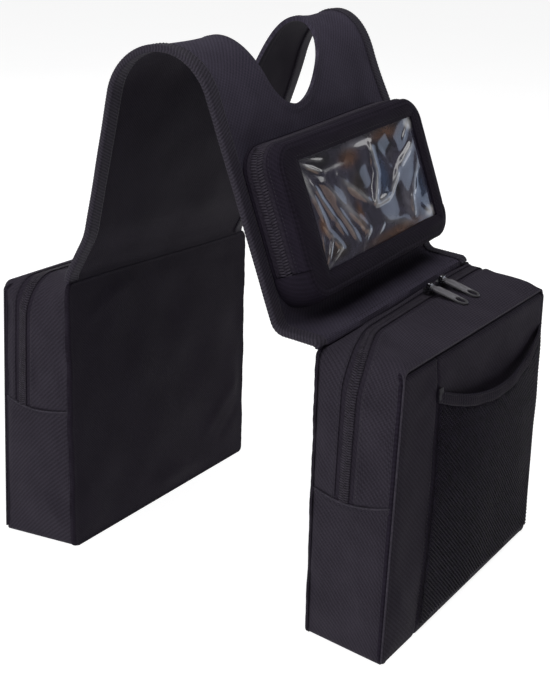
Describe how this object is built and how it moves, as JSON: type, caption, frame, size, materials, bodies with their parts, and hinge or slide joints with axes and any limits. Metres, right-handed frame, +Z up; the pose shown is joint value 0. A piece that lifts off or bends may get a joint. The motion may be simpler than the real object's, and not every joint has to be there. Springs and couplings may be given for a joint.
{
  "type": "motorcycle tank saddle bag",
  "caption": "Soft black saddle bag for a motorcycle or quad tank: zipped side pouches with net pockets under an arched yoke with a filler-cap hole and a windowed phone pouch.",
  "frame": {"origin": "on the floor under the middle of the bag, half way between the two pouches", "axes": "+Z up, +X across the tank from the far pouch to the near one, +Y along the tank"},
  "size_m": [0.4366, 0.2976, 0.4832],
  "materials": {
    "cloth": "near-black woven nylon cloth, matt with a soft sheen",
    "tape": "black ribbed binding tape",
    "net": "fine black net with a diagonal pattern",
    "coil": "black coil zip on woven tape",
    "metal": "glossy black enamel on die-cast metal",
    "pull": "satin dark grey",
    "film": "clear glossy vinyl film with soft wrinkles"
  },
  "bodies": {
    "bag": {"far_back_panel": "cloth", "far_lower_gusset": "cloth", "far_mesh_pocket": "net", "far_outer_panel": "cloth", "far_outer_strip": "cloth", "far_pocket_binding": "tape", "far_slider_a": "metal", "far_slider_b": "metal", "far_zip_strip_inner": "cloth", "far_zip_strip_outer": "cloth", "far_zipper": "coil", "near_back_panel": "cloth", "near_lower_gusset": "cloth", "near_mesh_pocket": "net", "near_outer_panel": "cloth", "near_outer_strip": "cloth", "near_pocket_binding": "tape", "near_slider_a": "metal", "near_slider_b": "metal", "near_zip_strip_inner": "cloth", "near_zip_strip_outer": "cloth", "near_zipper": "coil", "phone_base_strip": "cloth", "phone_bottom_wall": "cloth", "phone_face": "cloth", "phone_face_strip": "cloth", "phone_slider": "metal", "phone_window": "film", "phone_zipper": "coil", "yoke": "cloth", "yoke_binding_front": "tape", "yoke_binding_rear": "tape"},
    "near_pull_a": {"near_pull_a": "pull"},
    "near_pull_b": {"near_pull_b": "pull"},
    "far_pull_a": {"far_pull_a": "pull"},
    "far_pull_b": {"far_pull_b": "pull"}
  },
  "joints": [
    {"name": "near_pull_a_hinge", "type": "hinge", "parent": "bag", "child": "near_pull_a", "pos_m": [0.13974, 0.03, 0.26506], "axis": [0, -1, 0], "range_deg": [0, 130]},
    {"name": "near_pull_b_hinge", "type": "hinge", "parent": "bag", "child": "near_pull_b", "pos_m": [0.13974, 0.054, 0.26621], "axis": [0, -1, 0], "range_deg": [0, 130]},
    {"name": "far_pull_a_hinge", "type": "hinge", "parent": "bag", "child": "far_pull_a", "pos_m": [-0.17904, -0.046, 0.25855], "axis": [0, -1, 0], "range_deg": [0, 150]},
    {"name": "far_pull_b_hinge", "type": "hinge", "parent": "bag", "child": "far_pull_b", "pos_m": [-0.17904, -0.014, 0.25792], "axis": [0, -1, 0], "range_deg": [0, 150]}
  ]
}
